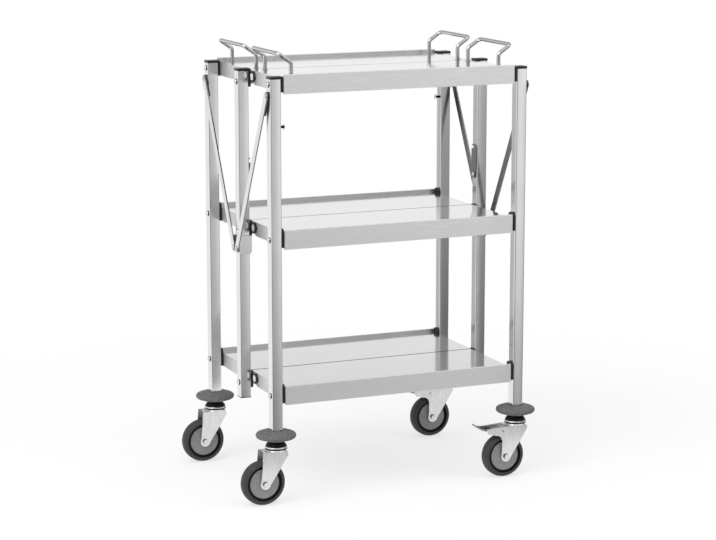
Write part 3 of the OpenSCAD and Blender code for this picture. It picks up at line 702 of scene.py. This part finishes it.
class TROLLEY_OT_forks(bpy.types.Operator):
    """Pressed forks with black rings round their raceways, and brake pedals with their pads"""

    bl_idname = "trolley.forks"
    bl_label = "Forks and brake pedals"

    def execute(self, context):
        sizes = context.scene.trolley_sizes
        pressed = zinc_plate("zinc_plate_dull", context.scene.trolley_colours.pedal)
        for corner in CORNERS:
            dress(f"fork_{corner}", bright_zinc(context), sizes.fork_edge, segments=3)
            self.black_raceway_ring(corner)
        for half in HALVES:
            dress(f"brake_pedal_{half}", pressed, sizes.bar_edge)
            self.pad(half, black_nylon(context), sizes)
        return {"FINISHED"}

    def black_raceway_ring(self, corner):
        """A black ring round the fork's raceway, which shows as a dark line between the bearing ring and the
        crown. Heights are above the raceway."""
        post = middle_of(f"post_{corner}")
        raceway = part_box(f"fork_{corner}")[1].z
        bore, rim, foot, top = 20.0, 24.9, -2.9, -0.2
        outline = [
            (bore, foot), (rim - 0.7, foot + 0.2), (rim, foot + 0.7), (rim, top - 0.8), (rim - 0.6, top),
            (bore, top),
        ]
        lip = turned(f"black_raceway_ring_{corner}", outline, black_rubber(), ROUND)
        set_along(lip, (0, 0, 1), (post.x, post.y, raceway))
        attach(lip, f"fork_{corner}_body")

    def pad(self, half, nylon, sizes):
        """A ribbed pad where a shoe presses the pedal. It follows the tongue's top, first flat and then
        sloping, whose (x, z) are in millimetres from the pedal's pivot."""
        tongue = [Vector((-24, 5)), Vector((-38, 5)), Vector((-53, 10.3))]
        sole, valley, ridge, edge = 0.3, 0.9, 1.9, 0.15 * MM
        rib_shape = ((0.12, valley), (0.3, ridge), (0.62, ridge), (0.8, valley))
        top, foot = [], []
        for start, end in zip(tongue, tongue[1:]):
            along = (end - start).normalized()
            up = Vector((along.y, -along.x))
            ribs = max(1, round((end - start).length * MM / sizes.pad_rib))
            pitch = (end - start).length / ribs
            foot.append(start - up * sole)
            for rib in range(ribs):
                top += [start + along * pitch * (rib + share) + up * rise for share, rise in rib_shape]
        foot.append(tongue[-1] - up * sole)
        outline = [tongue[0], *top, tongue[-1], *reversed(foot)]
        pad = extruded(f"pedal_pad_{half}", outline, sizes.pad_width / 2, nylon, edge)
        pad.matrix_world = Matrix.Translation(joint_place(f"brake_{half}"))
        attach(pad, f"pedal_{half}")


class TROLLEY_OT_wheels(bpy.types.Operator):
    """Rubber tyres on moulded hubs"""

    bl_idname = "trolley.wheels"
    bl_label = "Wheels"

    def execute(self, context):
        colours = context.scene.trolley_colours
        seat, groove, segments, hub_sharp = 34.0, 39.4, 96, 25
        tyre_material = tyre_rubber("tyre_rubber_grey", colours.tyre, groove)
        roughness, grain_mm = 0.42, 0.7
        hub_material = moulded_nylon("moulded_nylon_grey", colours.hub, roughness, grain_mm)
        for corner in CORNERS:
            tyre = self.tyre_outline(seat, groove)
            tyre = turned(f"tread_{corner}", tyre, tyre_material, segments)
            hub = turned(f"wheel_disc_{corner}", self.hub_outline(), hub_material, segments, hub_sharp)
            for piece, node, slot in ((tyre, "tyre", "tyre_rubber"), (hub, "hub", "hub_plastic")):
                set_along(piece, (0, 1, 0), middle_of(f"tyre_{corner}"))
                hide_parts(f"{node}_{corner}")
                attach(piece, f"wheel_{corner}")
        return {"FINISHED"}

    def tyre_outline(self, seat, groove):
        """Half a tyre's section from its seat on the hub, up the groove and round to the tread, and its
        mirror image."""
        half = [(seat, 7.0), (groove - 0.4, 7.6), (groove, 12.4), (groove + 0.8, 14.3)]
        root, crown, flank, shoulder = 40.9, 9.0, 10.4, 4.6
        for degrees in range(0, 91, 10):
            angle = math.radians(degrees)
            half.append((root + crown * math.sin(angle), shoulder + flank * math.cos(angle)))
        tread, tread_half = 50.0, 2.0
        return mirrored(half + [(tread, tread_half)])

    def hub_outline(self):
        """Half a hub's section from its bore over the boss, the dish and the rim, and its mirror image."""
        bore, boss, dish, rim = 4.1, 9.0, 29.0, 33.9
        boss_face, dish_face, rim_face, foot = 16.6, 11.5, 12.2, 7.0
        return mirrored([
            (bore, boss_face), (boss - 0.4, boss_face), (boss, boss_face - 0.4), (boss + 0.3, 12.9),
            (12.5, 12.6), (13.2, 12.0), (14.0, 11.8), (dish, dish_face), (dish + 0.6, rim_face - 0.1),
            (rim - 1.7, rim_face), (rim - 0.5, rim_face - 0.3), (rim, rim_face - 1.2), (rim, foot),
        ])


class TROLLEY_OT_stage(bpy.types.Operator):
    """White floor, soft studio light and the camera"""

    bl_idname = "trolley.stage"
    bl_label = "Stage"

    def execute(self, context):
        white = tuple(context.scene.trolley_colours.floor)
        self.floor(white)
        self.world(context, white)
        self.card(
            "card_in_front", start=(0.565, -0.6), end=(1.35, -0.6), heights=(-0.3, 0.85), lights=(0.02, 0.45)
        )
        self.card("card_behind", start=(0.0, 1.0), end=(-0.47, 1.0), heights=(0.0, 0.8), lights=(0.5, 0.5))
        self.lamp("key_light", place=(-2.6, -1.4, 3.4), size=2.6, watts=60)
        self.lamp("fill_light", place=(3.0, -2.2, 2.6), size=2.2, watts=16)
        self.camera(context)
        context.scene.view_settings.view_transform = "Standard"
        return {"FINISHED"}

    def floor(self, white):
        """White paper under the trolley. It keeps the shadow in its diffuse share and shows white to the
        camera and to metal, from further out on white alone."""
        material = bpy.data.materials.new("white_paper_floor")
        tree = cleared_tree(material)
        rays = add_node(tree, "ShaderNodeLightPath")
        largest = {"operation": "MAXIMUM"}
        mirrored_in = {0: rays.outputs["Is Glossy Ray"], 1: rays.outputs["Is Transmission Ray"]}
        mirrored_in = add_node(tree, "ShaderNodeMath", largest, links=mirrored_in)
        seen = {0: rays.outputs["Is Camera Ray"], 1: mirrored_in.outputs[0]}
        seen = add_node(tree, "ShaderNodeMath", largest, links=seen)
        place = add_node(tree, "ShaderNodeTexCoord")
        distance = {0: place.outputs["Object"]}
        distance = add_node(tree, "ShaderNodeVectorMath", {"operation": "LENGTH"}, links=distance)
        near, far, near_share = 0.7, 1.8, 0.65
        share = add_node(
            tree, "ShaderNodeMapRange", {"interpolation_type": "SMOOTHSTEP"},
            {"From Min": near, "From Max": far, "To Min": near_share}, {"Value": distance.outputs["Value"]},
        )
        share = {0: share.outputs[0], 1: seen.outputs[0]}
        share = add_node(tree, "ShaderNodeMath", {"operation": "MULTIPLY"}, links=share)
        paper = add_node(tree, "ShaderNodeBsdfDiffuse", values={"Color": white})
        glow = add_node(tree, "ShaderNodeEmission", values={"Color": white, "Strength": 1.0})
        mixed = {0: share.outputs[0], 1: paper.outputs[0], 2: glow.outputs[0]}
        mixed = add_node(tree, "ShaderNodeMixShader", links=mixed)
        add_node(tree, "ShaderNodeOutputMaterial", links={"Surface": mixed.outputs[0]})
        left, right, front, back, sunk = -3.5, 1.4, -0.5, 5.0, 0.2 * MM
        floor = self.flat_sheet(
            "floor", ((left, front, 0), (right, front, 0), (right, back, 0), (left, back, 0)), material
        )
        floor.location.z = -sunk

    def flat_sheet(self, name, corners, material):
        """One face of the stage."""
        mesh = bmesh.new()
        mesh.faces.new([mesh.verts.new(corner) for corner in corners])
        return finish_mesh(name, mesh, material)

    def world(self, context, white):
        """White to the camera. Other rays meet a white room whose unlit parts give the steel its greys. Each
        part lies between two values of a direction's X, Y and Z."""
        world = bpy.data.worlds.new("studio")
        context.scene.world = world
        tree = cleared_tree(world)
        direction = coordinates(tree, "Generated")
        end = 2.0
        front = (-end, -0.6)
        unlit = {
            "by the camera's feet": {
                "depth": 0.88, "soft": 0.1, "X": (-0.62, -0.22), "Y": (-end, -0.7), "Z": (-end, 0.08)
            },
            "in front": {"depth": 0.42, "soft": 0.05, "X": (-end, 0.345), "Y": front, "Z": (-end, 0.0)},
            "front right": {
                "depth": 0.5, "soft": 0.15, "X": (0.76, end), "Y": (-end, 0.1), "Z": (-end, 0.5)
            },
            "floor in front": {"depth": 0.62, "soft": 0.1, "Y": front, "Z": (-end, -0.27)},
            "wall in front": {"depth": 0.5, "soft": 0.1, "Y": front, "Z": (0.07, 0.35)},
            "at the right": {
                "depth": 0.65, "soft": 0.15, "X": (0.8, end), "Y": (0.15, 0.7), "Z": (-end, 0.35)
            },
            "high behind": {"depth": 0.45, "soft": 0.15, "Y": (0.3, end), "Z": (0.33, 0.8)},
        }
        light = None
        for ranges in unlit.values():
            lit = self.lit_share(tree, direction, **ranges)
            if light:
                both = {0: light, 1: lit}
                lit = add_node(tree, "ShaderNodeMath", {"operation": "MULTIPLY"}, links=both).outputs[0]
            light = lit
        rays = add_node(tree, "ShaderNodeLightPath")
        backdrop = add_node(tree, "ShaderNodeBackground", values={"Color": white})
        walls = linear("#FBFBFC")
        room = add_node(tree, "ShaderNodeBackground", values={"Color": walls}, links={"Strength": light})
        mixed = {0: rays.outputs["Is Camera Ray"], 1: room.outputs[0], 2: backdrop.outputs[0]}
        mixed = add_node(tree, "ShaderNodeMixShader", links=mixed)
        add_node(tree, "ShaderNodeOutputWorld", links={"Surface": mixed.outputs[0]})

    def lit_share(self, tree, direction, depth, soft, **ranges):
        """1, less a depth where a direction's X, Y and Z all lie in their ranges, with soft borders."""
        smooth, times = {"interpolation_type": "SMOOTHSTEP"}, {"operation": "MULTIPLY"}
        inside = None
        for axis, (low, high) in ranges.items():
            for start, end in ((low - soft, low), (high + soft, high)):
                limits = {"From Min": start, "From Max": end}
                side = add_node(tree, "ShaderNodeMapRange", smooth, limits, {"Value": direction[axis]})
                side = side.outputs[0]
                if inside:
                    side = add_node(tree, "ShaderNodeMath", times, links={0: inside, 1: side}).outputs[0]
                inside = side
        less = {"operation": "MULTIPLY_ADD"}
        return add_node(tree, "ShaderNodeMath", less, {1: -depth, 2: 1.0}, {0: inside}).outputs[0]

    def card(self, name, start, end, heights, lights):
        """A grey studio card from one place on the floor to another, which only metal shows. Its light goes
        from one value at its foot to another at its top."""
        material = bpy.data.materials.new(f"{name}_paper")
        tree = cleared_tree(material)
        height = coordinates(tree, "Object")["Z"]
        limits = dict(zip(("From Min", "From Max", "To Min", "To Max"), (*heights, *lights)))
        rise = add_node(tree, "ShaderNodeMapRange", values=limits, links={"Value": height})
        paper = add_node(tree, "ShaderNodeEmission", links={"Strength": rise.outputs[0]})
        add_node(tree, "ShaderNodeOutputMaterial", links={"Surface": paper.outputs[0]})
        foot, top = heights
        card = self.flat_sheet(name, ((*start, foot), (*end, foot), (*end, top), (*start, top)), material)
        card.visible_camera = card.visible_diffuse = card.visible_shadow = False

    def lamp(self, name, place, size, watts):
        """A round soft box that faces the middle of the trolley."""
        data = bpy.data.lights.new(name, "AREA")
        data.shape = "DISK"
        data.size = size
        data.energy = watts
        lamp = bpy.data.objects.new(name, data)
        bpy.context.scene.collection.objects.link(lamp)
        middle = Vector((0, 0, 0.5))
        turn = (middle - Vector(place)).to_track_quat("-Z", "Y").to_matrix().to_4x4()
        lamp.matrix_world = Matrix.Translation(place) @ turn

    def camera(self, context):
        """Where the photo's camera stood, found from the posts, the shelf edges and the wheels' contacts."""
        place, sensor_width = (-2.0452, -4.7695, 1.4527), 36
        settings = context.scene.trolley_stage
        data = bpy.data.cameras.new("camera")
        data.sensor_width = sensor_width
        data.lens = settings.lens
        camera = bpy.data.objects.new("camera", data)
        context.scene.collection.objects.link(camera)
        camera.location = place
        camera.rotation_euler = (math.radians(90 - settings.elevation), 0, math.radians(-settings.azimuth))
        context.scene.camera = camera


PIECES = (
    TROLLEY_OT_posts,
    TROLLEY_OT_shelves,
    TROLLEY_OT_hinge_blocks,
    TROLLEY_OT_fasteners,
    TROLLEY_OT_handles,
    TROLLEY_OT_braces,
    TROLLEY_OT_bumpers,
    TROLLEY_OT_caster_heads,
    TROLLEY_OT_forks,
    TROLLEY_OT_wheels,
    TROLLEY_OT_stage,
)


class TROLLEY_PT_panel(bpy.types.Panel):
    bl_idname = "TROLLEY_PT_panel"
    bl_label = "Folding serving trolley"
    bl_space_type = "VIEW_3D"
    bl_region_type = "UI"
    bl_category = "Trolley"

    def draw(self, context):
        scene = context.scene
        for group in (scene.trolley_sizes, scene.trolley_colours, scene.trolley_stage):
            box = self.layout.box()
            for name in group.__annotations__:
                box.prop(group, name)
        for operator in PIECES:
            self.layout.operator(operator.bl_idname)


GROUPS = {"trolley_sizes": TrolleySizes, "trolley_colours": TrolleyColours, "trolley_stage": TrolleyStage}


def register():
    for name, group in GROUPS.items():
        bpy.utils.register_class(group)
        setattr(bpy.types.Scene, name, PointerProperty(type=group))
    for operator in PIECES:
        bpy.utils.register_class(operator)
    bpy.utils.register_class(TROLLEY_PT_panel)


def unregister():
    bpy.utils.unregister_class(TROLLEY_PT_panel)
    for operator in reversed(PIECES):
        bpy.utils.unregister_class(operator)
    for name, group in GROUPS.items():
        delattr(bpy.types.Scene, name)
        bpy.utils.unregister_class(group)


def main():
    register()
    for operator in PIECES:
        group, name = operator.bl_idname.split(".")
        getattr(getattr(bpy.ops, group), name)()


if __name__ == "__main__":
    main()
